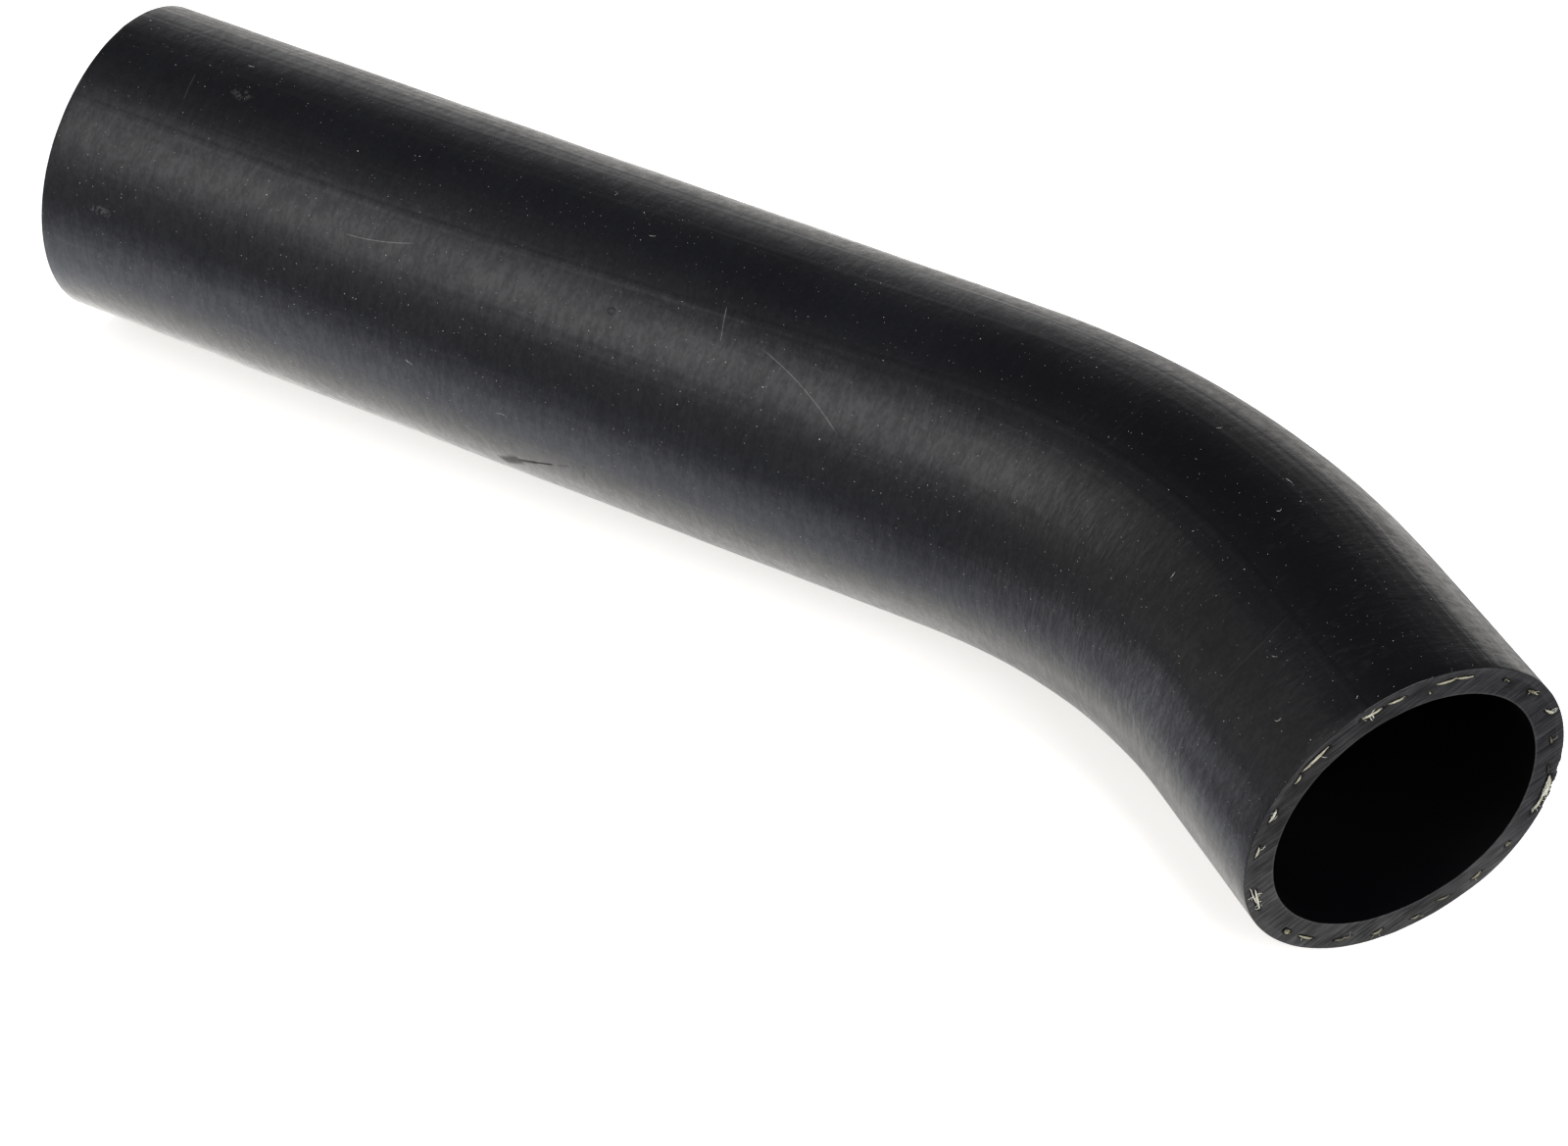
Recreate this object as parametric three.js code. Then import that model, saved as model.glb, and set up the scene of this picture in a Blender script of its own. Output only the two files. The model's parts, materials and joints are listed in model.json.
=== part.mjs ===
// A moulded rubber fuel filler hose: a long straight leg, one bend and a short straight leg, open at both ends.
// It lies on its side with the bend level. Millimetres, +Z up, long leg along +X, bending towards -Y.
import * as THREE from "three";

// Driving dimensions
const BORE_DIAMETER = 44.5; // slips over a filler neck of 1 3/4 inches
const WALL = 5;
const LONG_LEG = 167;
const SHORT_LEG = 30.5;
const BEND_RADIUS = 109; // of the centreline
const BEND_ANGLE = THREE.MathUtils.degToRad(35);

// How finely the round forms are divided
const SIDES_AROUND = 72;
const BEND_STEPS = 14;
const STEPS_ALONG = 1 + BEND_STEPS + 1; // a straight leg needs only one step

const RUBBER = new THREE.MeshStandardMaterial({ color: 0x1d1d1f, roughness: 0.42, metalness: 0 });

// The hose's centreline, level, with the bend starting at the origin. Its parameter counts the steps of
// the extrusion and not the length, so that each step ends where a leg or a slice of the bend does.
class Centreline extends THREE.Curve {
  // The angle turned so far, and the distance from the bend: behind it on the long leg, ahead on the short one
  stationAt(share) {
    const step = share * STEPS_ALONG - 1;
    const turned = THREE.MathUtils.clamp(step / BEND_STEPS, 0, 1) * BEND_ANGLE;
    const behind = Math.max(-step, 0) * LONG_LEG;
    const ahead = Math.max(step - BEND_STEPS, 0) * SHORT_LEG;
    return { turned, straight: ahead - behind };
  }

  getTangentAt(share) {
    const { turned } = this.stationAt(share);
    return new THREE.Vector3(Math.cos(turned), -Math.sin(turned), 0);
  }

  getPointAt(share) {
    const { turned, straight } = this.stationAt(share);
    const onBend = new THREE.Vector3(Math.sin(turned), Math.cos(turned) - 1, 0).multiplyScalar(BEND_RADIUS);
    return onBend.addScaledVector(this.getTangentAt(share), straight);
  }
}

// The cross-section: a ring of rubber round the bore.
function wallSection() {
  const boreRadius = BORE_DIAMETER / 2;
  const ring = new THREE.Shape().absarc(0, 0, boreRadius + WALL, 0, 2 * Math.PI);
  ring.holes.push(new THREE.Path().absarc(0, 0, boreRadius, 0, 2 * Math.PI, true));
  return ring;
}

// The hose rests on z = 0, with the origin under the middle of its box.
function fillerHose() {
  const geometry = new THREE.ExtrudeGeometry(wallSection(), {
    extrudePath: new Centreline(),
    steps: STEPS_ALONG,
    curveSegments: SIDES_AROUND / 2, // a full circle gets two sides for each
  });
  geometry.computeBoundingBox();
  const { min, max } = geometry.boundingBox;

  const hose = new THREE.Mesh(geometry, RUBBER);
  hose.name = "filler_hose";
  hose.position.set(-(min.x + max.x) / 2, -(min.y + max.y) / 2, -min.z);
  return hose;
}

const part = new THREE.Group();
part.add(fillerHose());

export default part;
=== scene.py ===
# %% [markdown]
# # A fuel filler hose
# A moulded rubber hose lies on a white table. It has a long straight leg, one bend and a short straight
# leg, and its two ends are cut off square with a knife. We keep the solid that was made in CAD as the
# measure of everything, and dress it here: a finer skin with the marks of its making, the cut ends of the
# braided yarn that reinforces its wall, a little lint, and a white table under a soft light.

import json
import math

import bpy
import numpy as np
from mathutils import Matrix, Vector


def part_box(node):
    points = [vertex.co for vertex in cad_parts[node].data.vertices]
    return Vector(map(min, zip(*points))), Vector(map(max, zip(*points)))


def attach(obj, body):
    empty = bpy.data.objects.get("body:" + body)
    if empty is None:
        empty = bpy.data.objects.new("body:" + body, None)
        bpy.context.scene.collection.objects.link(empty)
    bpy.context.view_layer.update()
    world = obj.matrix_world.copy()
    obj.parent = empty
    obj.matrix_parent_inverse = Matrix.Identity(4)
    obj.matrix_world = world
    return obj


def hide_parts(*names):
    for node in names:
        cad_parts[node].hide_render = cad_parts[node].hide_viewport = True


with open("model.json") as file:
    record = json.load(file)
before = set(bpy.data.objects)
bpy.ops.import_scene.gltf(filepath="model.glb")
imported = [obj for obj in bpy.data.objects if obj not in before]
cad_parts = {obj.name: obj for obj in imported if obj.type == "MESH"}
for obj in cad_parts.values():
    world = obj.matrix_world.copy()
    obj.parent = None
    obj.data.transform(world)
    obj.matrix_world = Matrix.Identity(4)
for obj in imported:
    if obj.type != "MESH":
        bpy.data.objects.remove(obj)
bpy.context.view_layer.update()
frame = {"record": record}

# %% [markdown]
# ## Where the hose runs
# The two mounts of the record sit on the cut ends, at the top of the ring and in the middle of the wall.
# They give the ends, the way each end looks and the thickness of the wall, and the box gives the outside
# diameter. Only the radius of the bend can't be read from them, so it is the one size that is written down
# again. With it, the straight legs are what is left of the way from each end to the corner where their
# lines cross.

# %% Sizes of the hose, from the frame
MM = 0.001
BEND_RADIUS = 109 * MM

lowest, highest = (np.array(corner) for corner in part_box("filler_hose"))
mounts = {mount["name"]: mount for mount in frame["record"]["mounts"]}
outer_radius = (highest[2] - lowest[2]) / 2
mid_wall = mounts["long_leg_end"]["pos_m"][2] - lowest[2] - outer_radius
wall = 2 * (outer_radius - mid_wall)
bore_radius = outer_radius - wall

far_end, near_end = (
    np.array(mounts[name]["pos_m"]) - (0, 0, mid_wall) for name in ("long_leg_end", "short_leg_end")
)
long_heading = -np.array(mounts["long_leg_end"]["axis"], float)
short_heading = np.array(mounts["short_leg_end"]["axis"], float)
bend_angle = math.acos(long_heading @ short_heading)

to_corner = np.linalg.solve(
    np.array([long_heading[:2], short_heading[:2]]).T, (near_end - far_end)[:2]
)
corner_to_bend = BEND_RADIUS * math.tan(bend_angle / 2)
long_leg, short_leg = to_corner - corner_to_bend
bend_length = BEND_RADIUS * bend_angle
hose_length = long_leg + bend_length + short_leg
print(f"bore {2 * bore_radius / MM:.1f} mm, wall {wall / MM:.1f} mm, length {hose_length / MM:.1f} mm")
print(f"legs {long_leg / MM:.1f} and {short_leg / MM:.1f} mm, bend {math.degrees(bend_angle):.1f} degrees")

# %% [markdown]
# ## Places on the hose
# Everything that follows is placed by three numbers: how far along the hose it is from the hidden far end,
# how far round it is, and how far from the middle line. The angle round starts on the side that faces the
# camera, goes up over the top and down the back, so a mark that is 30 degrees up is on the front. One
# function turns these numbers into points, for single values and for whole grids.

# %% From along, round and radius to a point
def hose_line(along):
    """The middle line's points and the directions towards the front, for distances along the hose."""
    turned = np.clip((along - long_leg) / BEND_RADIUS, 0, bend_angle)
    beyond = np.minimum(along - long_leg, 0) + np.maximum(along - long_leg - bend_length, 0)
    heading = np.stack([np.cos(turned), -np.sin(turned), np.zeros_like(turned)], -1)
    front = np.stack([-np.sin(turned), -np.cos(turned), np.zeros_like(turned)], -1)
    bend_start = far_end + long_heading * long_leg
    centre_of_bend = bend_start - (0, BEND_RADIUS, 0)
    return centre_of_bend - front * BEND_RADIUS + heading * beyond[..., None], front


def on_hose(along, up, radius):
    """Points of the hose. The angle up is in radians."""
    along, up, radius = np.broadcast_arrays(*(np.asarray(value, float) for value in (along, up, radius)))
    middle, front = hose_line(along)
    upwards = np.array([0.0, 0.0, 1.0])
    return middle + radius[..., None] * (np.cos(up)[..., None] * front + np.sin(up)[..., None] * upwards)


ends = on_hose([0, hose_length], 0, 0)
print("ends of the middle line:", np.round(ends / MM, 2).tolist())

# %% [markdown]
# ## Where the yarn was cut
# The wall holds a braid of cream yarn, a little outside its middle. The knife cut every yarn, and how it
# shows depends on how it lay: a yarn that ran almost along the cut shows as a strip, one that crossed it
# shows as a dot in a small pit, and some have pulled out and frayed. We list the yarns of the near end one
# by one, going round from the front, because the photograph shows each of them. The far end can't be seen,
# so its braid is drawn by a seeded loop with about the same spacing.

# %% One cut yarn
class YarnEnd:
    """One cut yarn between two angles. Drift moves it outwards on its way, and a brush stands on end."""

    def __init__(self, start, stop, ring, width, cream, strays=0, drift=0.0, brush=False):
        self.start, self.stop = math.radians(start), math.radians(stop)
        self.ring, self.drift, self.width = ring * MM, drift * MM, width * MM
        self.cream, self.strays, self.brush = cream, strays, brush
        self.length = (self.stop - self.start) * self.ring

    def at(self, share):
        """The angle and the radius at a share of its length."""
        return self.start + (self.stop - self.start) * share, self.ring + self.drift * (share - 0.5)


# %% The yarns of the near end
near_yarns = [
    YarnEnd(4.4, 9.6, 25.8, 0.36, 0.95, strays=1, drift=-0.2),
    YarnEnd(19.8, 25.4, 25.6, 0.42, 0.95, strays=4, drift=-0.2),
    YarnEnd(36.2, 40.2, 25.5, 0.26, 0.6, drift=0.1),
    YarnEnd(41.0, 53.2, 25.7, 0.58, 0.8, strays=1, drift=-0.25),
    YarnEnd(66.3, 74.4, 25.6, 0.46, 0.8, strays=9, drift=-0.3),
    YarnEnd(76.5, 83.0, 25.45, 0.26, 0.7, drift=-0.2),
    YarnEnd(92.2, 93.0, 24.1, 0.2, 0.5, brush=True),
    YarnEnd(95.0, 102.6, 25.5, 0.32, 0.8, drift=0.4),
    YarnEnd(102.0, 109.4, 25.65, 0.22, 0.65),
    YarnEnd(123.5, 126.5, 25.4, 0.3, 0.15, brush=True),
    YarnEnd(138.3, 143.3, 25.5, 0.6, 0.5, strays=2, drift=0.4, brush=True),
    YarnEnd(154.2, 158.6, 25.75, 0.5, 0.9, strays=3, drift=1.0),
    YarnEnd(169.6, 172.8, 25.05, 0.24, 0.3, strays=1),
    YarnEnd(183.2, 188.0, 25.3, 0.2, -0.4, drift=0.5),
    YarnEnd(189.6, 199.2, 26.3, 1.25, 1.05, strays=18, drift=0.2),
    YarnEnd(197.4, 205.2, 26.2, 0.6, 0.9, strays=6, drift=-0.4),
    YarnEnd(218.3, 220.8, 25.95, 0.4, 0.45, brush=True),
    YarnEnd(232.4, 236.6, 25.9, 0.4, 0.5, strays=1),
    YarnEnd(245.6, 251.1, 25.3, 0.2, 0.1, drift=-0.7),
    YarnEnd(258.0, 261.4, 25.9, 0.24, 0.2, strays=1),
    YarnEnd(272.5, 276.7, 25.7, 0.36, 0.35, strays=2, drift=0.5),
    YarnEnd(285.4, 292.8, 25.4, 0.24, 0.25, strays=2, drift=0.6),
    YarnEnd(303.0, 310.1, 25.4, 0.36, 0.7, strays=1),
    YarnEnd(315.6, 318.6, 25.5, 0.95, 0.55, brush=True),
    YarnEnd(337.2, 348.5, 25.8, 0.34, 1.0, strays=9, drift=-0.3),
    YarnEnd(340.5, 350.2, 26.2, 0.2, 0.95, strays=2, drift=0.5),
]
print(len(near_yarns), "yarns show at the near end")

# %% The yarns of the far end
YARNS_IN_BRAID = 24
rng = np.random.default_rng(5)
far_yarns = []
for place in range(YARNS_IN_BRAID):
    middle = (place + rng.uniform(-0.2, 0.2)) * 360 / YARNS_IN_BRAID
    half = rng.choice([1.2, 1.8, 3.0, 4.2])
    ring, width, cream = rng.uniform(25.3, 25.9), rng.uniform(0.3, 0.6), rng.uniform(0.1, 0.95)
    strays, drift, brush = int(rng.integers(0, 5)), rng.uniform(-0.4, 0.4), bool(half < 2)
    far_yarns.append(YarnEnd(middle - half, middle + half, ring, width, cream, strays, drift, brush))
print(len(far_yarns), "yarns are drawn at the far end")

# %% [markdown]
# ## The hose's own skin
# A tube could be a curve with a bevel, but then its ends have no wall. We sweep the outline of the wall
# instead: a closed path that runs along the cover, round the sharp outer edge, across the cut, round the
# inner edge and back through the bore. Every point of the path becomes a ring of points, so the skin is one
# closed mesh of quads, and a relief can be added to any part of it by moving points in or out.

# %% Points round an edge and across a cut
OUTER_EDGE = 0.14 * MM
INNER_EDGE = 0.1 * MM
ROUND = 432


def edge_round(centre_along, centre_radius, size, start, steps=4):
    """A quarter circle between a cut and the cover or the bore. It turns clockwise in along and radius."""
    angles = start - np.linspace(0, np.pi / 2, steps + 1)
    return np.stack([centre_along + size * np.cos(angles), centre_radius + size * np.sin(angles)], 1)


def across_cut(along, steps=20):
    """Radii from the outer edge to the inner one, closer together where the yarn lies."""
    outer, inner = outer_radius - OUTER_EDGE, bore_radius + INNER_EDGE
    share = np.linspace(0, 1, steps + 1)[1:-1]
    share = share + 0.09 * np.sin(2 * np.pi * share)
    radii = outer + (inner - outer) * share
    return np.stack([np.full_like(radii, along), radii], 1)


# %% The outline that is swept round
def level_line(start, stop, radius, stations):
    """Points at one radius, between start and stop but without them."""
    return np.stack([np.linspace(start, stop, stations + 2)[1:-1], np.full(stations, radius)], 1)


cover_line = level_line(OUTER_EDGE, hose_length - OUTER_EDGE, outer_radius, stations=132)
bore_line = level_line(hose_length - INNER_EDGE, INNER_EDGE, bore_radius, stations=28)
near_outer_edge = edge_round(hose_length - OUTER_EDGE, outer_radius - OUTER_EDGE, OUTER_EDGE, np.pi / 2)
near_inner_edge = edge_round(hose_length - INNER_EDGE, bore_radius + INNER_EDGE, INNER_EDGE, 0)
stretches = [
    ("cover", cover_line),
    ("edge", near_outer_edge),
    ("cut", across_cut(hose_length)),
    ("lip", near_inner_edge),
    ("bore", bore_line),
    ("lip", near_inner_edge[::-1] * (-1, 1) + (hose_length, 0)),
    ("cut", across_cut(0)[::-1]),
    ("edge", near_outer_edge[::-1] * (-1, 1) + (hose_length, 0)),
]
outline = np.concatenate([points for _, points in stretches])
outline_part = np.concatenate([[part] * len(points) for part, points in stretches])
print(len(outline), "points in the outline,", len(outline) * ROUND, "quads in the skin")

# %% [markdown]
# ## Relief
# Rubber that was cured on a mandrel is never quite even. Its cover swells and sinks by a few hundredths of
# a millimetre, which shows only where it mirrors something, and the knife left the cut ends slightly
# uneven. Sums of sine waves do this well: each wave has a length, a direction and a whole number of crests
# round the hose, so it closes on itself. The yarn lies in pits, and beside one frayed yarn the edge of the
# cover is torn away. The near end isn't quite round either: over its last few centimetres the whole wall
# bulges, most of all low at the back, by less than a millimetre.

# %% Waves over the hose
def waves(along, up, seed, shortest, longest, count=24):
    """An even mix of waves over the hose, about 1 high, with crests between the two lengths in mm."""
    draw = np.random.default_rng(seed)
    height = np.zeros(np.broadcast(along, up).shape)
    for _ in range(count):
        crest = draw.uniform(shortest, longest) * MM
        slant = draw.uniform(0, np.pi)
        crests_round = round(2 * np.pi * outer_radius * math.sin(slant) / crest)
        phase = draw.uniform(0, 6.28)
        height += np.sin(2 * np.pi * math.cos(slant) * along / crest + crests_round * up + phase)
    return height * math.sqrt(2 / count)


# %% Pits round the yarns, and the torn edge
PIT_DEPTH = 0.4 * MM
TORN_DEPTH = 0.34 * MM


def gap_between(angle_a, angle_b):
    """The smaller angle from one direction to another, with its sign."""
    return (angle_a - angle_b + np.pi) % (2 * np.pi) - np.pi


def yarn_pits(up, radius, yarns):
    """How deep the cut's surface lies in the pits round its yarns, from 0 to 1."""
    depth = np.zeros(np.broadcast(up, radius).shape)
    for yarn in yarns:
        way = gap_between(up, yarn.start) / (yarn.stop - yarn.start)
        share = np.clip(way, 0, 1)
        aside = (way - share) * yarn.length
        across = radius - yarn.at(share)[1]
        beyond = np.maximum(np.hypot(aside, across) - 0.4 * yarn.width, 0)
        depth = np.maximum(depth, np.exp(-((beyond / (0.16 * MM)) ** 2)))
    return depth


def torn_edge(up, along, radius):
    """How much of the near end's outer edge is torn away, in metres, beside the widest frayed yarn."""
    middle = gap_between(up, math.radians(193)) / math.radians(12)
    teeth = np.clip(0.5 + np.sin(83 * up) * np.sin(131 * up + 1) + 0.4 * np.sin(47 * up), 0, 1)
    near_edge = np.clip(1 - (hose_length - along) / (1.2 * MM), 0, 1) * np.clip(
        1 - (outer_radius - radius) / (1.0 * MM), 0, 1
    )
    return TORN_DEPTH * teeth * np.exp(-(middle**4)) * near_edge


# %% The bulges of the near end
# Each has its middle and its half width in degrees round the hose, and its height in mm.
BULGES = ((222, 30, 0.8), (338, 30, 0.38), (135, 28, 0.22))
BULGE_LENGTH = 30 * MM


def out_of_round(up, along):
    """How far the wall bulges at the near end, in metres."""
    bulge = np.zeros(np.broadcast(up, along).shape)
    for middle, width, rise in BULGES:
        away = gap_between(up, math.radians(middle)) / math.radians(width)
        bulge += rise * MM * np.exp(-(away**2))
    share = np.clip(1 - (hose_length - along) / BULGE_LENGTH, 0, 1)
    return bulge * share**2 * (3 - 2 * share)


print("the near end bulges by", [rise for _, _, rise in BULGES], "mm")

# %% The points of the skin
MOST_SWELL = 0.04
UNEVEN_CUT = 0.03 * MM
KNIFE_STEPS = 0.015 * MM

up_angles = np.arange(ROUND) * 2 * np.pi / ROUND - np.pi / 2
along_grid, up_grid = np.meshgrid(outline[:, 0], up_angles, indexing="ij")
radius_grid = np.repeat(outline[:, 1:], ROUND, axis=1)
flat_place = np.stack([along_grid, radius_grid * np.cos(up_grid), radius_grid * np.sin(up_grid)], -1)

is_cover = (outline_part == "cover")[:, None]
is_cut = np.isin(outline_part, ["cut", "edge", "lip"])[:, None]
is_near = outline[:, :1] > hose_length / 2
bulge = out_of_round(up_grid, along_grid)
near_pits = yarn_pits(up_grid, radius_grid + bulge, near_yarns)
far_pits = yarn_pits(up_grid, radius_grid, far_yarns)
pits = np.where(is_near, near_pits, far_pits) * is_cut
inwards = np.where(is_near, -1, 1)
knife_steps = waves(radius_grid * np.cos(up_grid), radius_grid / outer_radius, 3, 2, 9)

swell = 0.02 * waves(along_grid, up_grid, 1, 14, 45) + 0.006 * waves(along_grid, up_grid, 2, 5, 12)
swell = np.minimum(swell, MOST_SWELL) - MOST_SWELL
swell = np.where(is_cover | (outline_part[:, None] == "edge"), swell, -0.02)
radius_moved = radius_grid + swell * MM
radius_moved = np.where(np.isin(outline_part, ["bore", "lip"])[:, None], radius_grid, radius_moved)
radius_moved = radius_moved + bulge - torn_edge(up_grid, along_grid, radius_grid)
above_table = outer_radius / np.maximum(-np.sin(up_grid), 0.5)
radius_moved = np.minimum(radius_moved, above_table)
cut_depth = UNEVEN_CUT + KNIFE_STEPS * knife_steps + PIT_DEPTH * pits
along_moved = along_grid + inwards * is_cut * cut_depth
skin_points = on_hose(along_moved, up_grid, radius_moved)
print("cover moved by", np.round(swell.min(), 3), "to", np.round(swell.max(), 3), "mm")


# %% From points to a piece
def grid_faces(rows, columns):
    """Quads between the rings of a grid that closes both ways, with their outer side up."""
    row, column = np.meshgrid(np.arange(rows), np.arange(columns), indexing="ij")
    next_row, next_column = (row + 1) % rows, (column + 1) % columns
    loops = [row * columns + column, next_row * columns + column]
    loops += [next_row * columns + next_column, row * columns + next_column]
    return np.stack(loops, -1).reshape(-1, 4)


def new_piece(name, points, faces):
    """A smooth mesh object in the scene, in metres."""
    mesh = bpy.data.meshes.new(name)
    mesh.from_pydata(np.reshape(points, (-1, 3)).tolist(), [], [tuple(face) for face in faces])
    mesh.validate()
    mesh.polygons.foreach_set("use_smooth", [True] * len(mesh.polygons))
    piece = bpy.data.objects.new(name, mesh)
    bpy.context.scene.collection.objects.link(piece)
    return piece


hose = new_piece("hose_skin", skin_points, grid_faces(len(outline), ROUND))
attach(hose, "root")
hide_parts("filler_hose")
print("the skin has", len(hose.data.polygons), "faces")

# %% [markdown]
# The materials need to know where a point lies on the hose as if it had never been bent, so that marks of
# its making follow the bend. A vector on every point of the mesh holds that place, and a number holds how
# deep in a yarn's pit the point is. Both are attributes, which stay with the mesh in every pose and view.

# %% Attributes for the materials
def store_on_points(piece, name, values):
    """Keeps a number or a vector for every point of a piece."""
    values = np.asarray(values, float)
    kind, field = ("FLOAT_VECTOR", "vector") if values.ndim > 1 else ("FLOAT", "value")
    layer = piece.data.attributes.new(name, kind, "POINT")
    layer.data.foreach_set(field, values.ravel())


store_on_points(hose, "unbent_place", flat_place.reshape(-1, 3))
store_on_points(hose, "pit_depth", pits.ravel())

part_of_face = np.repeat(outline_part, ROUND)
part_of_next = np.repeat(np.roll(outline_part, -1), ROUND)
of_cover = np.isin(part_of_face, ["cover", "edge"]) & np.isin(part_of_next, ["cover", "edge"])
of_bore = (part_of_face == "bore") | (part_of_next == "bore")
slot_of_face = np.select([of_cover, of_bore], [0, 2], 1)
hose.data.polygons.foreach_set("material_index", slot_of_face.astype(np.int32))
print("faces of cover, cut and bore:", np.bincount(slot_of_face).tolist())

# %% [markdown]
# ## Shader maths
# A material is a chain of nodes, and adding them one by one hides what they work out. A small class wraps
# the output socket of a node, so that sums, products and powers can be written as in any other Python,
# and each of them adds its Math node. Every other node comes from one method, which sets the node up first
# and then fills its sockets.

# %% A wire
class Wire:
    """The output of a shader node, which can be worked with like a number."""

    def __init__(self, finish, socket):
        self.finish, self.socket = finish, socket

    def maths(self, operation, *values):
        return self.finish.node("ShaderNodeMath", {"operation": operation}, dict(enumerate(values)))

    def __add__(self, other):
        return self.maths("ADD", self, other)

    def __sub__(self, other):
        return self.maths("SUBTRACT", self, other)

    def __rsub__(self, other):
        return self.maths("SUBTRACT", other, self)

    def __mul__(self, other):
        return self.maths("MULTIPLY", self, other)

    def __truediv__(self, other):
        return self.maths("DIVIDE", self, other)

    def __rtruediv__(self, other):
        return self.maths("DIVIDE", other, self)

    def __pow__(self, other):
        return self.maths("POWER", self, other)

    def __abs__(self):
        return self.maths("ABSOLUTE", self)

    __radd__ = __add__
    __rmul__ = __mul__

    def exp(self):
        return self.maths("EXPONENT", self)

    def up_to(self, other):
        """The larger of two values."""
        return self.maths("MAXIMUM", self, other)

    def fade(self, start, end):
        """0 where the value is start, 1 where it is end, and smooth in between. Start may be the larger."""
        settings = {"interpolation_type": "SMOOTHSTEP"}
        sockets = {"Value": self, "From Min": start, "From Max": end}
        return self.finish.node("ShaderNodeMapRange", settings, sockets)

    def stretched(self, *scales):
        """A vector with each of its axes multiplied."""
        return self.finish.node("ShaderNodeVectorMath", {"operation": "MULTIPLY"}, {0: self, 1: scales})

    def noise(self, detail, roughness):
        """Smooth noise from 0 to 1, with lumps about one unit of this vector apart."""
        sockets = {"Vector": self, "Scale": 1.0, "Detail": detail, "Roughness": roughness}
        return self.finish.node("ShaderNodeTexNoise", {}, sockets)


# %% A finish
class Finish:
    """A material that is written as expressions."""

    def __init__(self, name):
        self.material = bpy.data.materials.new(name)
        self.material.use_nodes = True
        self.tree = self.material.node_tree
        self.shader = self.tree.nodes["Principled BSDF"]
        self.surface = Wire(self, self.shader.outputs[0])

    def node(self, kind, settings, sockets, output=None):
        """Adds a node: first its settings, then the values or wires of its sockets, by name or number."""
        node = self.tree.nodes.new(kind)
        for name, value in settings.items():
            setattr(node, name, value)
        for name, value in sockets.items():
            self.plug(self.pick(node.inputs, name), value)
        return Wire(self, self.pick(node.outputs, output or 0))

    @staticmethod
    def pick(sockets, name):
        in_use = [socket for socket in sockets if socket.enabled]
        return in_use[name] if isinstance(name, int) else next(s for s in in_use if s.name == name)

    def plug(self, socket, value):
        if isinstance(value, Wire):
            self.tree.links.new(value.socket, socket)
        else:
            socket.default_value = value

    def set(self, **values):
        """Fills the shader's own sockets. Underscores stand for spaces."""
        for name, value in values.items():
            self.plug(self.shader.inputs[name.replace("_", " ")], value)

    def mix(self, amount, first, second):
        """A colour between two colours."""
        settings = {"data_type": "RGBA", "blend_type": "MIX"}
        return self.node("ShaderNodeMix", settings, {"Factor": amount, "A": first, "B": second})

    def kept(self, name, output="Vector"):
        """An attribute that was stored on the mesh."""
        return self.node("ShaderNodeAttribute", {"attribute_name": name}, {}, output)

    def flat(self, x, y):
        """A vector of two numbers, for a pattern on a flat face."""
        return self.node("ShaderNodeCombineXYZ", {}, {"X": x, "Y": y})

    def split(self, vector):
        """The three numbers of a vector."""
        cut = self.node("ShaderNodeSeparateXYZ", {}, {"Vector": vector}).socket.node
        return [Wire(self, socket) for socket in cut.outputs]

    def dull_where(self, amount, colour):
        """Covers the surface with a matt colour, by an amount from 0 to 1."""
        matt = self.node("ShaderNodeBsdfDiffuse", {}, {"Color": colour})
        self.surface = self.node("ShaderNodeMixShader", {}, {0: amount, 1: self.surface, 2: matt})
        self.plug(self.tree.nodes["Material Output"].inputs["Surface"], self.surface)

    def bump(self, height, depth, under=None):
        """A bumped normal. The depth is that of a height of 1, in metres."""
        sockets = {"Strength": 1.0, "Distance": depth, "Height": height}
        if under is not None:
            sockets["Normal"] = under
        return self.node("ShaderNodeBump", {}, sockets)


# %% Colours
def srgb(red, green, blue):
    """A colour as a screen shows it, from 0 to 255, turned into the shader's linear values."""
    shares = (red / 255, green / 255, blue / 255)
    linear = [share / 12.92 if share <= 0.04045 else ((share + 0.055) / 1.055) ** 2.4 for share in shares]
    return (*linear, 1.0)


print("middle grey is", round(srgb(128, 128, 128)[0], 3), "in linear values")

# %% [markdown]
# ## The cover
# The cover is a satin black rubber, slightly blue, and blackest on the short leg. Its sheen comes from a
# fairly low roughness, and what makes it look like this hose and no other are fine marks that run round it,
# about a millimetre apart, where the tape that held it in the oven pressed on it. They break up every
# reflection, most of all where the surface is seen edge on. Between them the rubber is matt in places, so
# the finish is a mix of a shiny and a matt one. Four faint raised lines run along the hose and wind
# slightly round it. On top lie dust, a few scuffs and hairs, one small blister, and one gouge low on the
# front.

# %% Dust, a scratch and a spot
def dust(finish, place, cell, smallest, largest):
    """White specks: one in each cell of a Voronoi pattern, and only those that cut the surface show."""
    sockets = {"Vector": place.stretched(1 / cell, 1 / cell, 1 / cell), "Scale": 1.0}
    distance = finish.node("ShaderNodeTexVoronoi", {}, sockets, "Distance")
    cells = Wire(finish, distance.socket.node.outputs["Color"])
    size_draw, shade_draw, _ = finish.split(cells)
    size = (smallest + size_draw * (largest - smallest)) / cell
    return (size - distance).fade(0.0, 0.3 * smallest / cell) * (0.35 + 0.65 * shade_draw * shade_draw)


def scratch(along, height, start, end, width, sag=0.0):
    """A line from start to end, each given as mm along the hose and mm up round the front."""
    (x0, y0), (x1, y1) = start, end
    length = math.hypot(x1 - x0, y1 - y0)
    dx, dy = (x1 - x0) / length, (y1 - y0) / length
    mid_x, mid_y = (x0 + x1) / 2, (y0 + y1) / 2
    run = ((along - mid_x * MM) * dx + (height - mid_y * MM) * dy) / (length / 2 * MM)
    off = (height - mid_y * MM) * dx - (along - mid_x * MM) * dy + (1 - run * run) * (sag * MM)
    return abs(off).fade(width * MM, 0.3 * width * MM) * abs(run).fade(1.0, 0.75)


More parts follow.
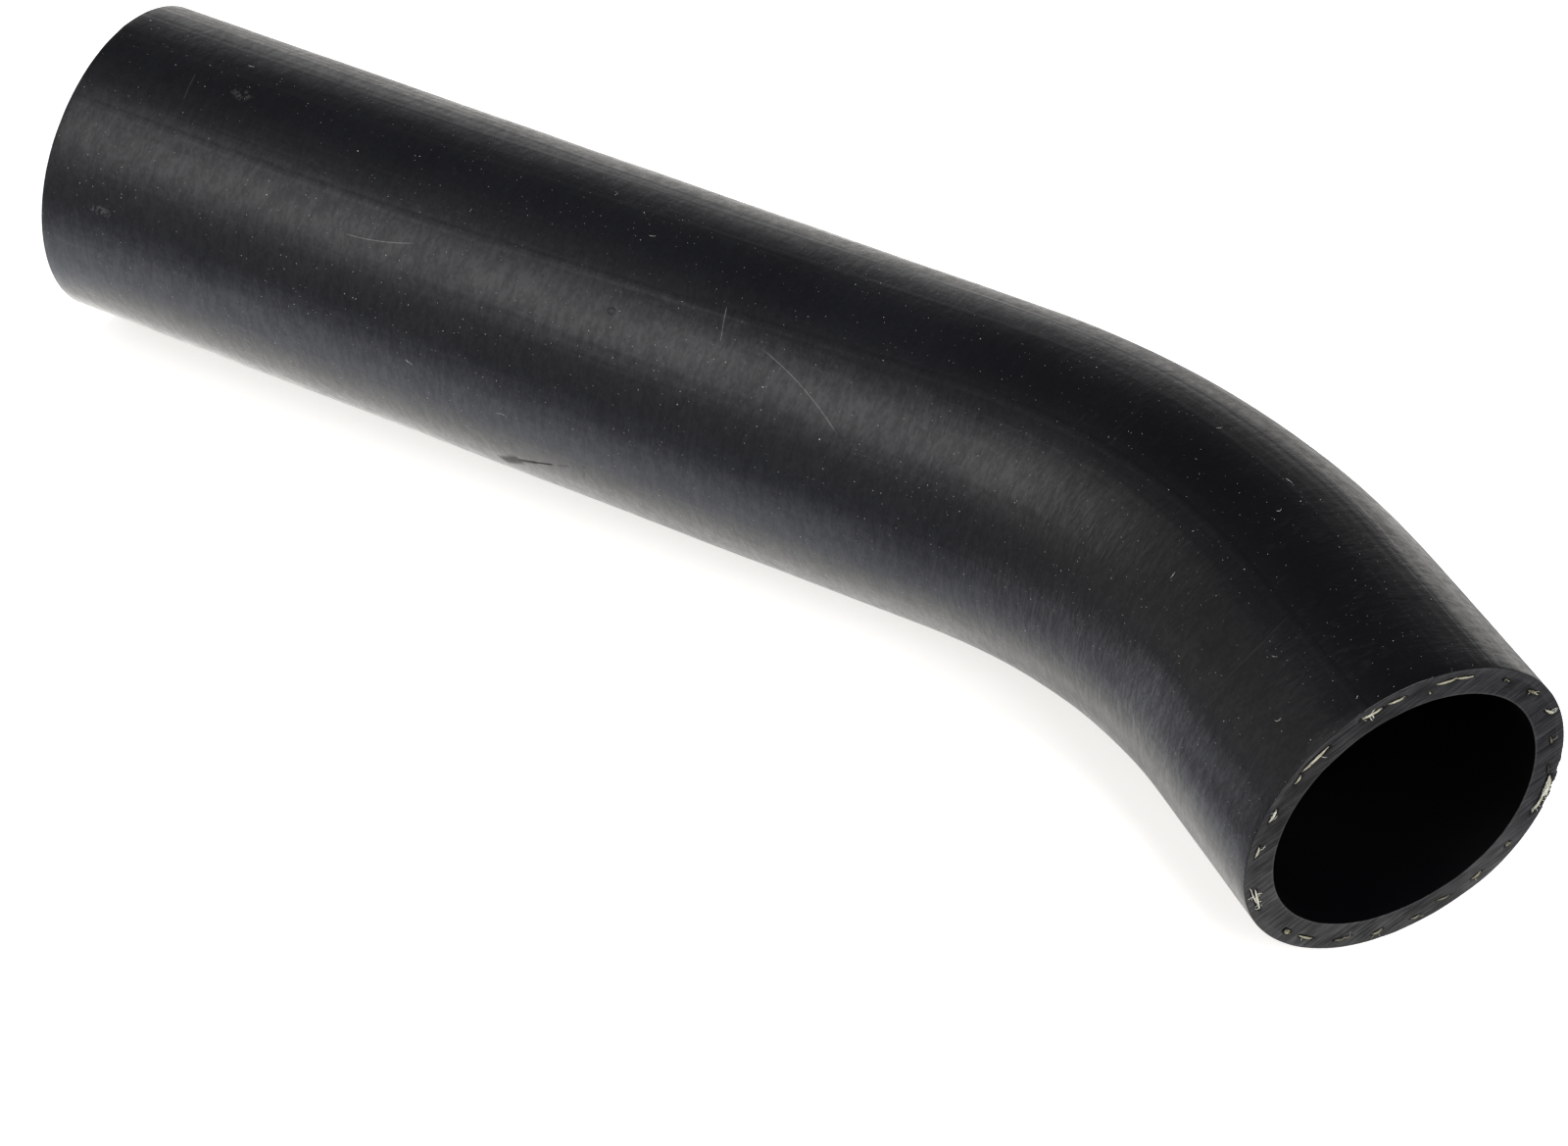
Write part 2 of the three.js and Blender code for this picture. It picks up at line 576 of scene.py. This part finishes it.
def spot(along, height, centre, reach):
    """A soft-edged oval spot. Centre and reach are mm along and mm up."""
    run = (along - centre[0] * MM) / (reach[0] * MM)
    rise = (height - centre[1] * MM) / (reach[1] * MM)
    return (run * run + rise * rise).fade(1.0, 0.25)


def strongest(marks):
    """Several marks in one, where the strongest counts at every place."""
    together = marks[0]
    for mark in marks[1:]:
        together = together.up_to(mark)
    return together


# %% Pale marks on the cover
def pale_scuffs(along, height):
    """Thin scratches and hairs."""
    return strongest(
        [
            scratch(along, height, (57.5, 21.2), (70.5, 23.7), 0.09, 0.5) * 0.4,
            scratch(along, height, (133.3, 26.8), (150.7, 18.0), 0.1, -0.9) * 0.3,
            scratch(along, height, (124.9, 31.5), (126.7, 25.4), 0.08) * 0.35,
            scratch(along, height, (243.6, 17.7), (242.6, 33.1), 0.1, 0.8) * 0.05,
            scratch(along, height, (18.2, 39.3), (19.6, 33.1), 0.12) * 0.07,
        ]
    )


def pale_smears(place, along, height):
    """Two crumbly smears near the far end."""
    crumbs = place.stretched(1500, 1500, 1500).noise(1.0, 0.5)
    low = spot(along, height, (12, 10.4), (2.6, 1.0))
    high = spot(along, height, (28.1, 38.1), (2.4, 1.5)) * 0.5
    return low.up_to(high) * crumbs.fade(0.45, 0.62) * 0.17


# %% Dark marks and raised ones
def dark_marks(along, height):
    """The gouge with its thin tail, the cracks and two dark hairs."""
    gouge = strongest(
        [
            0.62 * scratch(along, height, (89.2, -13.7), (93.9, -10.4), 1.75),
            0.7 * scratch(along, height, (92.6, -11.1), (97.4, -9.1), 0.6),
            0.9 * scratch(along, height, (94.8, -10.1), (100.8, -7.7), 0.3),
            0.4 * scratch(along, height, (101.4, -7.4), (104.0, -6.3), 0.25),
        ]
    )
    upper_crack = scratch(along, height, (107.0, -4.5), (106.9, -5.4), 0.25)
    lower_crack = scratch(along, height, (106.8, -6.1), (106.4, -8.0), 0.22)
    upper_hair = scratch(along, height, (167.3, 27.8), (167.1, 23.3), 0.12, 0.3)
    lower_hair = scratch(along, height, (166.8, 20.6), (167.1, 16.8), 0.1)
    cracks = 0.3 * upper_crack.up_to(lower_crack)
    return gouge.up_to(cracks.up_to(upper_hair.up_to(lower_hair) * 0.8))


def raised_marks(along, height):
    """The rim of the blister, the three lines on top and the one on the front."""
    blister = spot(along, height, (107.3, 24.1), (0.9, 0.8))
    blister = blister - spot(along, height, (107.3, 24.1), (0.6, 0.5))
    winding = along.fade(0.04, 0.2) * (5.7 * MM)
    heights = (41.9, 48.8, 55.7)
    ridges = [abs(height - winding - start * MM).fade(0.75 * MM, 0.15 * MM) for start in heights]
    front_ridge = abs(height - winding - 27.2 * MM).fade(1.05 * MM, 0.15 * MM)
    return blister, ridges[0] + ridges[1] + ridges[2], front_ridge


# %% The cover's finish
def cover_finish():
    rubber = Finish("cover_rubber")
    place = rubber.kept("unbent_place")
    along, to_front, upwards = rubber.split(place)
    height = upwards.maths("ARCTAN2", upwards, to_front) * outer_radius

    tape_marks = place.stretched(850, 320, 320).noise(2.0, 0.6)
    grain = place.stretched(1900, 1300, 1300).noise(1.0, 0.5)
    lumps = place.stretched(260, 150, 150).noise(2.0, 0.55)
    mould_lines = place.stretched(7, 460, 460).noise(2.0, 0.55)
    patches = place.stretched(45, 45, 45).noise(3.0, 0.6)
    marks_strength = patches.fade(0.35, 0.65)

    on_top = upwards.fade(0.014, 0.025)
    bright_specks = dust(rubber, place, 2.8 * MM, 0.062 * MM, 0.11 * MM)
    fine_specks = dust(rubber, place, 0.92 * MM, 0.045 * MM, 0.078 * MM) * (0.9 - 0.38 * on_top)
    dusty = bright_specks.up_to(fine_specks)

    scuffs = pale_scuffs(along, height)
    smear = pale_smears(place, along, height)
    dark = dark_marks(along, height)
    blister, ridge, front_ridge = raised_marks(along, height)

    black = rubber.mix(patches, srgb(13, 14, 18), srgb(19, 20, 24))
    black = rubber.mix(along.fade(0.15, 0.21) * 0.8, black, srgb(3, 3, 5))
    black = rubber.mix(tape_marks.fade(0.5, 0.85) * marks_strength * 0.5, black, srgb(34, 35, 39))
    black = rubber.mix(scuffs + smear, black, srgb(150, 150, 148))
    black = rubber.mix(dusty, black, srgb(232, 231, 226))

    sheen = 0.11 + 0.08 * marks_strength + 0.12 * tape_marks + 0.5 * dusty + 0.1 * scuffs
    pressed = rubber.bump(tape_marks * (0.4 + 0.6 * marks_strength), 0.085 * MM)
    raised = lumps + 0.9 * blister + 0.28 * ridge + 0.6 * front_ridge
    pressed = rubber.bump(raised, 0.045 * MM, pressed)
    at_back = to_front.fade(-0.004, -0.012)
    pressed = rubber.bump(mould_lines * (0.3 + 0.7 * at_back), 0.12 * MM, pressed)
    rubber.set(Base_Color=black, Roughness=sheen, Normal=pressed, IOR=1.54)
    mottling = (0.6 * tape_marks + 0.4 * grain).fade(0.36, 0.64)
    matt = mottling * (0.12 + 0.16 * upwards.fade(-0.006, 0.008)) * (1 - 0.8 * ridge)
    rubber.dull_where(matt, srgb(12, 12, 14))
    rubber.dull_where(dark, srgb(44, 41, 39))
    return rubber.material


# %% [markdown]
# ## The cuts and the bore
# Cut rubber is duller and greyer than the moulded cover, because the knife left it finely torn. Its strokes
# are parallel lines that slant across both ends in the same direction, and the layers of the wall show as
# faint rings. The low front of each cut is painted paler, as painted light from the table below, and a thin
# painted highlight runs round the lip of the bore. Around each yarn the rubber is painted dark and a little
# brown, as painted shade in the yarn's pit. The bore is smooth and black.

# %% The finish of the cut ends
KNIFE_SLANT = math.radians(26)


def cut_finish():
    rubber = Finish("cut_rubber")
    place = rubber.kept("unbent_place")
    pit = rubber.kept("pit_depth", "Fac")
    _, to_front, upwards = rubber.split(place)
    across = to_front * math.sin(KNIFE_SLANT) + upwards * math.cos(KNIFE_SLANT)
    stroke = upwards * math.sin(KNIFE_SLANT) - to_front * math.cos(KNIFE_SLANT)
    radius = (to_front * to_front + upwards * upwards) ** 0.5

    grooves = rubber.flat(across * 2200, stroke * 150).noise(3.0, 0.6)
    wide_grooves = rubber.flat(across * 700, stroke * 60).noise(1.5, 0.5)
    around = to_front.maths("ARCTAN2", upwards, to_front)
    layers = rubber.flat(radius * 2400, around * 2.0).noise(2.0, 0.5)
    grain = place.stretched(2200, 2200, 2200).noise(2.0, 0.6)
    mottle = place.stretched(240, 240, 240).noise(2.0, 0.5)
    crumbs = dust(rubber, place, 1.4 * MM, 0.04 * MM, 0.09 * MM)

    near_cover = radius.fade(outer_radius - 1.9 * MM, outer_radius - 0.7 * MM)
    painted_lip_highlight = radius.fade(bore_radius + 0.45 * MM, bore_radius + 0.12 * MM)
    light = 0.5 * grooves + 0.25 * wide_grooves + 0.25 * mottle
    grey = rubber.mix(light.fade(0.4, 0.66), srgb(3, 3, 4), srgb(54, 54, 56))
    # Painted light: the low front of each cut gets a paler, lit copy of its grey, as light from the table
    # below.
    painted_light_from_below = (to_front * 0.4 - upwards).fade(-0.002, 0.022)
    painted_lit_grey = rubber.mix(light.fade(0.36, 0.7), srgb(34, 34, 35), srgb(92, 92, 94))
    grey = rubber.mix(painted_light_from_below * 0.75, grey, painted_lit_grey)
    grey = rubber.mix((0.12 + 0.5 * layers.fade(0.5, 0.8)) * near_cover, grey, srgb(82, 82, 84))
    # Painted highlight: a thin pale ring round the lip of the bore.
    grey = rubber.mix(painted_lip_highlight * 0.28, grey, srgb(84, 84, 85))
    grey = rubber.mix(crumbs * 0.6, grey, srgb(150, 146, 134))
    # Painted shade: in and round each yarn's pit the grey is painted near black and a little brown, where
    # shade falls in the pit.
    grey = rubber.mix(pit.fade(0.1, 0.7) * 0.95, grey, srgb(9, 8, 7))

    torn = rubber.bump(grooves, 0.12 * MM)
    torn = rubber.bump(wide_grooves + layers * 0.4, 0.18 * MM, torn)
    torn = rubber.bump(grain, 0.02 * MM, torn)
    rubber.set(Base_Color=grey, Roughness=0.62 - 0.16 * grooves, Normal=torn, IOR=1.32)
    return rubber.material


# %% The finish of the bore
def bore_finish():
    rubber = Finish("bore_rubber")
    place = rubber.kept("unbent_place")
    drawn = place.stretched(12, 420, 420).noise(2.0, 0.5)
    patches = place.stretched(60, 60, 60).noise(2.0, 0.5)
    specks = dust(rubber, place, 3.2 * MM, 0.05 * MM, 0.1 * MM) * 0.3
    black = rubber.mix(patches, srgb(2, 2, 4), srgb(5, 5, 7))
    black = rubber.mix(specks, black, srgb(150, 150, 146))
    rubber.set(
        Base_Color=black,
        Roughness=0.42 + 0.12 * patches,
        Normal=rubber.bump(drawn, 0.015 * MM),
        IOR=1.25,
    )
    return rubber.material


for make in (cover_finish, cut_finish, bore_finish):
    hose.data.materials.append(make())
print("finishes of the hose:", [material.name for material in hose.data.materials])

# %% [markdown]
# ## The yarn
# Each yarn is a bundle of filaments. On a strip they lie side by side, twisted round each other, and both
# ends of the strip dive back into the rubber. A yarn that was cut across stands in its pit like a short
# brush. Stray filaments curl out of both. We draw every filament as a thin tube along a short path, so that
# they catch the light one by one, as hairs do.

# %% Tubes along a path
class Strands:
    """Collects thin tubes into the points, faces and shades of one mesh."""

    def __init__(self):
        self.points, self.faces, self.shades = [], [], []
        self.count = 0

    def add(self, path, thickness, shade, sides=5):
        """A tube through the points of a path, thinner at its two ends."""
        path = np.asarray(path)
        tangent = np.gradient(path, axis=0)
        tangent /= np.linalg.norm(tangent, axis=1, keepdims=True)
        helper = np.where(np.abs(tangent[:, 2:]) < 0.9, [[0.0, 0.0, 1.0]], [[1.0, 0.0, 0.0]])
        side = np.cross(tangent, helper)
        side /= np.linalg.norm(side, axis=1, keepdims=True)
        other = np.cross(tangent, side)
        turn = np.arange(sides) * 2 * np.pi / sides
        taper = thickness * (0.35 + 0.65 * np.sin(np.linspace(0.12, np.pi - 0.12, len(path)))) / 2
        ring = np.cos(turn)[:, None] * side[:, None] + np.sin(turn)[:, None] * other[:, None]
        points = path[:, None] + taper[:, None, None] * ring
        rows, first = len(path), self.count
        for row in range(rows - 1):
            for k in range(sides):
                a, b = first + row * sides + k, first + row * sides + (k + 1) % sides
                self.faces.append((a, b, b + sides, a + sides))
        self.faces.append(tuple(first + k for k in reversed(range(sides))))
        self.faces.append(tuple(first + (rows - 1) * sides + k for k in range(sides)))
        self.points.append(points.reshape(-1, 3))
        self.shades.append(np.full(rows * sides, shade))
        self.count += rows * sides

    def piece(self, name, slot, finish):
        strands = new_piece(name, np.concatenate(self.points), self.faces)
        store_on_points(strands, "strand_shade", np.concatenate(self.shades))
        strands.data.materials.append(finish)
        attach(strands, "root")
        print(name, "has", len(self.faces), "faces")


# %% A yarn that lies along the cut
FILAMENT = 0.105 * MM
TWIST_PITCH = 4.2 * MM


def on_cut(end_along, outwards, up, radius, proud):
    """Points on a cut end, or proud of it. Outwards is 1 at the near end and -1 at the far one."""
    return on_hose(end_along + outwards * np.asarray(proud), up, radius)


def lay_strip(strands, yarn, draw, end_along, outwards):
    """Twisted filaments that lie along the cut, with both ends in the rubber."""
    share = np.linspace(0, 1, 17)
    filaments = 5 + round(yarn.width / (0.09 * MM))
    for k in range(filaments):
        begin, end = draw.uniform(-0.02, 0.16), draw.uniform(0.84, 1.02)
        t = begin + (end - begin) * share
        twist = 2 * np.pi * (k / filaments + t * yarn.length / TWIST_PITCH) + draw.uniform(-0.4, 0.4)
        bow = np.sin(np.pi * np.clip(t, 0.02, 0.98)) ** 0.4
        reach = yarn.width * (0.2 + 0.17 * (k % 3) / 2)
        up, radius = yarn.at(t)
        radius = radius + reach * np.cos(twist) * bow + 0.04 * MM * np.sin(9 * t + draw.uniform(0, 6))
        proud = (0.03 - 0.35 * (1 - bow)) * MM + 0.09 * MM * np.sin(twist) * bow
        shade = yarn.cream + draw.uniform(-0.5, 0.1)
        strands.add(on_cut(end_along, outwards, up, radius, proud), FILAMENT, shade)


# %% A yarn that was cut across
BRISTLE = 0.11 * MM


def stand_brush(strands, yarn, draw, end_along, outwards):
    """Short filaments that come out of a pit and lean over."""
    t = np.linspace(0, 1, 7)
    filaments = 8 + round(yarn.width / (0.06 * MM))
    for _ in range(filaments):
        spread, reach = draw.uniform(0, 2 * np.pi), draw.uniform(0.1, 0.5) ** 0.8
        up, radius = yarn.at(0.5 + np.cos(spread) * reach * (0.35 + 0.65 * t))
        radius = radius + np.sin(spread) * reach * yarn.width * (0.35 + 0.65 * t)
        proud = -PIT_DEPTH + draw.uniform(0.4, 0.5) * MM * np.sin(t * 1.9)
        shade = yarn.cream + draw.uniform(-0.3, 0.1)
        strands.add(on_cut(end_along, outwards, up, radius, proud), BRISTLE, shade)


# %% Stray filaments
STRAY = 0.07 * MM


def fray(strands, yarn, draw, end_along, outwards):
    """Stray filaments that curl away from the yarn over the cut."""
    t = np.linspace(0, 1, 9)
    for _ in range(yarn.strays):
        start, ring = yarn.at(draw.uniform(0.1, 0.9))
        lean = draw.uniform(-0.9, 0.9)
        about_turn = np.pi if draw.random() < 0.45 else 0
        swing = lean + about_turn + draw.uniform(-1.6, 1.6) * t
        length = draw.uniform(0.5, 1.5) * MM
        up = start + length * np.cumsum(np.sin(swing)) / len(t) / ring
        radius = ring + length * np.cumsum(np.cos(swing)) / len(t)
        radius = np.clip(radius, bore_radius + 0.3 * MM, outer_radius - 0.05 * MM)
        proud = 0.02 * MM + draw.uniform(0.05, 0.22) * MM * np.sin(t * draw.uniform(1.6, 2.9))
        strands.add(on_cut(end_along, outwards, up, radius, proud), STRAY, yarn.cream + 0.1, sides=4)


# %% [markdown]
# The yarn is cream where it is clean and tan where rubber and oil have soaked in, so its finish runs
# between the two by the shade that each filament was given. A little sheen across the filaments and a fine
# grain along them keep it from looking like plastic.

# %% The yarn's finish
def yarn_finish():
    yarn = Finish("braid_yarn")
    shade = yarn.kept("strand_shade", "Fac")
    place = yarn.node("ShaderNodeTexCoord", {}, {}, "Object")
    grain = place.stretched(5200, 5200, 5200).noise(2.0, 0.6)
    stain = place.stretched(900, 900, 900).noise(1.5, 0.5)
    clean = (shade + 0.3 * stain - 0.15).fade(-0.3, 1.1)
    colour = yarn.mix(clean, srgb(46, 42, 32), srgb(240, 239, 226))
    colour = yarn.mix((clean * (1 - clean)) * 2.2, colour, srgb(158, 148, 104))
    colour = yarn.mix(grain.fade(0.55, 0.8) * 0.3, colour, srgb(104, 96, 70))
    yarn.set(Base_Color=colour, Roughness=0.7, Normal=yarn.bump(grain, 0.015 * MM))
    yarn.set(Sheen_Weight=0.2)
    return yarn.material


# %% Lay the yarns of both ends
def cut_yarns(name, yarns, end_along, outwards, seed, finish):
    """All the yarns of one cut end, as one piece."""
    strands, draw = Strands(), np.random.default_rng(seed)
    for yarn in yarns:
        lay = stand_brush if yarn.brush else lay_strip
        lay(strands, yarn, draw, end_along, outwards)
        fray(strands, yarn, draw, end_along, outwards)
    strands.piece(name, "reinforcement_yarn", finish)


yarn_material = yarn_finish()
cut_yarns("yarn_ends_near", near_yarns, hose_length, 1, 11, yarn_material)
cut_yarns("yarn_ends_far", far_yarns, 0, -1, 12, yarn_material)

# %% [markdown]
# ## Lint
# Besides the dust, a few short pale fibres cling to the cover. Each is a thin tube, bent to an arc that
# lies on the surface. A dozen lie where the photograph shows them. The places of the others are seeded,
# and there are more of them near the short leg.

# %% The lint's finish
def lint_finish():
    lint = Finish("lint_fibre")
    place = lint.node("ShaderNodeTexCoord", {}, {}, "Object")
    grain = place.stretched(3000, 3000, 3000).noise(1.0, 0.5)
    lint.set(Base_Color=lint.mix(grain, srgb(150, 150, 146), srgb(220, 219, 212)), Roughness=0.8)
    return lint.material


# %% Lay the lint
# Along in mm, up in degrees, length in mm, its way in degrees from the hose's line, and how far it curls.
SEEN_LINT = [
    (96.2, 96, 1.5, 100, 3.0),
    (107.0, 82, 1.3, 20, 0.3),
    (219.2, 102, 1.6, 10, 0.2),
    (204.7, 101, 1.4, 70, 0.5),
    (221.9, 50, 1.2, 95, 0.3),
    (246.9, 58, 1.2, 30, 1.0),
    (255.5, 47, 1.5, 50, 2.2),
    (74.0, 8.5, 1.7, -20, 0.4),
    (91.6, 0.3, 2.4, 10, -0.9),
    (25.3, 95, 1.3, 0, 0.4),
    (45.8, 114, 1.6, 20, 0.2),
    (224.0, 90, 1.2, 80, 1.6),
]


def lay_lint(seen, unseen, seed):
    """Fibres at the places that the photograph shows, and some more all round."""
    draw = np.random.default_rng(seed)
    fibres = [(a, math.radians(u), size * MM, math.radians(way), curl) for a, u, size, way, curl in seen]
    for _ in range(unseen):
        along = (2 + 260 * (1 - draw.random() ** 1.4)) * MM
        up, size = draw.uniform(0, 2 * np.pi), draw.uniform(0.3, 0.8) * MM
        fibres.append((along / MM, up, size, draw.uniform(0, np.pi), draw.uniform(-2.2, 2.2)))
    strands, steps = Strands(), 9
    t = np.linspace(-0.5, 0.5, steps)
    for along, up, size, way, curl in fibres:
        swing = way + curl * t
        run = along * MM + size * (np.cumsum(np.cos(swing)) - steps / 2 * math.cos(way)) / steps
        around = up + size * (np.cumsum(np.sin(swing)) - steps / 2 * math.sin(way)) / steps / outer_radius
        run = np.clip(run, 0.5 * MM, hose_length - 0.5 * MM)
        lift = outer_radius - 0.02 * MM
        strands.add(on_hose(run, around, lift), draw.uniform(0.05, 0.075) * MM, 1.0, sides=4)
    strands.piece("cover_lint", "reinforcement_yarn", lint_finish())


lay_lint(SEEN_LINT, unseen=30, seed=21)

# %% [markdown]
# ## Table and light
# The photograph looks as if it was taken on a white table in a light tent. The hose shows it better than
# the background does: a soft white patch high on the left mirrors in the front of the cover, the white wall
# low behind the hose mirrors along its back, and the table brightens its underside. The rest is dim. A
# world of smooth glows gives that, with one lamp overhead and one at the right to bring pale surfaces to
# their own colour. The overhead lamp is hidden from mirror rays, because the hose in the photograph shows
# no image of it. A dark seam and a dimmer panel in the patch of light draw faint steps in its mirror image
# on the front.

# %% Directions and surroundings
def direction(azimuth, elevation):
    """A unit vector towards a compass angle, counted from +X towards +Y, and a height above the horizon."""
    a, e = math.radians(azimuth), math.radians(elevation)
    return (math.cos(a) * math.cos(e), math.sin(a) * math.cos(e), math.sin(e))


class Surroundings(Finish):
    """A world that is written as expressions, like a material."""

    def __init__(self, name):
        world = bpy.data.worlds.new(name)
        world.use_nodes = True
        bpy.context.scene.world = world
        self.tree = world.node_tree
        self.shader = self.tree.nodes["Background"]

    def toward(self, where, aim):
        """The cosine of the angle to a direction."""
        return self.node("ShaderNodeVectorMath", {"operation": "DOT_PRODUCT"}, {0: where, 1: aim}, "Value")

    def glow(self, where, aim, reach):
        """A round soft light: 1 in its middle, 0.6 at its reach in degrees."""
        tightness = 1 / math.radians(reach) ** 2
        return ((self.toward(where, aim) - 1) * tightness).exp()


# %% The light tent
def light_tent():
    tent = Surroundings("light_tent")
    where = tent.node("ShaderNodeTexCoord", {}, {}, "Generated")
    rise = tent.toward(where, (0, 0, 1))
    all_round = (rise * rise * -8.2).exp() * (1 - 0.8 * tent.glow(where, direction(76, 8), 14))
    behind = tent.glow(where, direction(121, -3), 18)
    wall = (0.3 * all_round + 0.36 * behind) * (1 - 0.25 * rise.fade(0.31, 0.37))
    wall_rim = 0.12 * abs(rise - 0.4).fade(0.03, 0.0) * tent.toward(where, direction(115, 0)).fade(0.6, 0.9)
    left_side = 0.26 * tent.glow(where, direction(-168, 20), 26)
    patch = 1.85 * tent.glow(where, direction(-122, 43), 14)
    patch = patch + 0.35 * tent.glow(where, direction(-163, 61), 12)
    across_seam = tent.toward(where, (-0.417, -0.865, -0.278)) - 0.045
    seam = 1 - 0.6 * abs(across_seam).fade(0.05, 0.0) * rise.fade(0.5, 0.7)
    panel = 0.65 + 0.35 * across_seam.fade(-0.01, 0.04)
    level = 0.07 + wall + wall_rim + left_side * panel + patch * panel * seam
    rays = tent.node("ShaderNodeLightPath", {}, {}, "Is Camera Ray")
    tent.set(Color=(1, 1, 1, 1), Strength=level + rays * (1 - level))


light_tent()

# %% Lamps
def soft_lamp(name, azimuth, elevation, distance, size, radiance):
    """A square lamp that faces the hose. Its power follows from the brightness of its face."""
    lamp = bpy.data.lights.new(name, "AREA")
    lamp.shape, lamp.size = "SQUARE", size
    lamp.energy = radiance * 4 * size**2
    holder = bpy.data.objects.new(name, lamp)
    bpy.context.scene.collection.objects.link(holder)
    aim = Vector(direction(azimuth, elevation))
    holder.location = aim * distance
    holder.rotation_mode = "QUATERNION"
    holder.rotation_quaternion = aim.to_track_quat("Z", "Y")
    holder.visible_camera = False
    print(f"{name}: {lamp.energy:.2f} W")
    return holder


overhead = soft_lamp("overhead_lamp", azimuth=0, elevation=90, distance=1.2, size=0.5, radiance=7.0)
overhead.visible_glossy = False
soft_lamp("right_lamp", azimuth=-20, elevation=42, distance=1.3, size=0.85, radiance=4.0)

# %% [markdown]
# The table is white for the camera and for reflections, but it still takes the shadow of the hose: its own
# white is lit by the lamps, and a glow that only the camera's rays see lifts it the rest of the way. Mirror
# rays see another glow and nothing else of the table. It is strongest close beside the hose, dimmer farther
# off, and dim again in the narrow gap under it, so that the cover's reflections of the table have the steps
# that the photograph shows.

# %% The table's finish
WHITE_TO_CAMERA = 0.72
COOL_WHITE = (0.955, 0.975, 1.05, 1)
WARM_WHITE = (1.0, 0.98, 0.95, 1)


def table_finish():
    table = Finish("white_table")
    rays = table.node("ShaderNodeLightPath", {}, {}, "Is Camera Ray")
    mirror = Wire(table, rays.socket.node.outputs["Is Glossy Ray"])
    x, y, _ = table.split(table.node("ShaderNodeTexCoord", {}, {}, "Object"))
    bend_start, bend_middle = far_end[:2] + long_heading[:2] * long_leg
    beside = y - bend_middle + 0.43 * (x - bend_start).up_to(0)
    past_end = (abs(x) - 0.12).up_to(0)
    clear = (beside * beside + past_end * past_end) ** 0.5 - outer_radius
    tightness = 200 * (1 + 4.5 * x.fade(-0.01, 0.05))
    near_hose = (clear * clear * tightness * -1).exp() * (1 - 0.5 * x.fade(0.02, 0.12))
    under_hose = clear.fade(-0.003, -0.011) * x.fade(-0.1, -0.02)
    far_side = y.fade(0.03, 0.12) * (1 - 0.6 * x.fade(-0.02, 0.04)) + abs(y - 0.33).fade(0.07, 0.02)
    table.set(Base_Color=table.mix(mirror, (0.8, 0.8, 0.8, 1), (0, 0, 0, 1)))
    table.set(Roughness=0.9, Specular_IOR_Level=0.0)
    warm = clear.fade(0.02, 0.0).up_to(y.fade(0.03, 0.08))
    tint = table.mix(warm, COOL_WHITE, WARM_WHITE)
    front_left = x.fade(-0.05, -0.12) * y.fade(0.0, -0.03) * clear.fade(0.015, 0.05)
    front_left = front_left * clear.fade(0.28, 0.12)
    behind_right = x.fade(0.03, 0.08) * y.fade(0.05, 0.12)
    glow = 0.42 + 1.12 * near_hose + 0.34 * far_side + 0.22 * front_left + 0.34 * behind_right
    glow = glow * (1 - 0.35 * under_hose)
    sockets = {"Vector": tint, "Scale": rays * WHITE_TO_CAMERA + mirror * glow}
    table.set(Emission_Color=table.node("ShaderNodeVectorMath", {"operation": "SCALE"}, sockets))
    table.set(Emission_Strength=1.0)
    return table.material


# %% The table
TABLE_HALF = 3.0
table_points = [(x * TABLE_HALF, y * TABLE_HALF, 0) for x, y in ((-1, -1), (1, -1), (1, 1), (-1, 1))]
table_top = new_piece("table_top", table_points, [(0, 1, 2, 3)])
table_top.data.materials.append(table_finish())
print("table:", 2 * TABLE_HALF, "m square")

# %% [markdown]
# ## Camera
# The camera was solved from the outline of the hose. It stands to the front right and looks down, and its
# long lens is given by the focal length in pixels of the 1600 px wide picture.

# %% Camera
PICTURE_WIDTH = 1600
FOCAL_PIXELS = 4245.2
CAMERA_AZIMUTH, CAMERA_ELEVATION, CAMERA_DISTANCE = 29.12, 43.44, 687.9 * MM
AIM_POINT = Vector((0.76, 4.07, 0)) * MM

camera_data = bpy.data.cameras.new("camera")
camera_data.sensor_width = 36
camera_data.lens = FOCAL_PIXELS * camera_data.sensor_width / PICTURE_WIDTH
camera_data.clip_start = 0.01
camera = bpy.data.objects.new("camera", camera_data)
bpy.context.scene.collection.objects.link(camera)
backwards = Vector(direction(CAMERA_AZIMUTH - 90, CAMERA_ELEVATION))
camera.location = AIM_POINT + backwards * CAMERA_DISTANCE
camera.rotation_mode = "QUATERNION"
camera.rotation_quaternion = (-backwards).to_track_quat("-Z", "Y")
bpy.context.scene.camera = camera
bpy.context.scene.view_settings.view_transform = "Standard"
print("lens", round(camera_data.lens, 2), "mm, camera at", [round(v, 3) for v in camera.location])
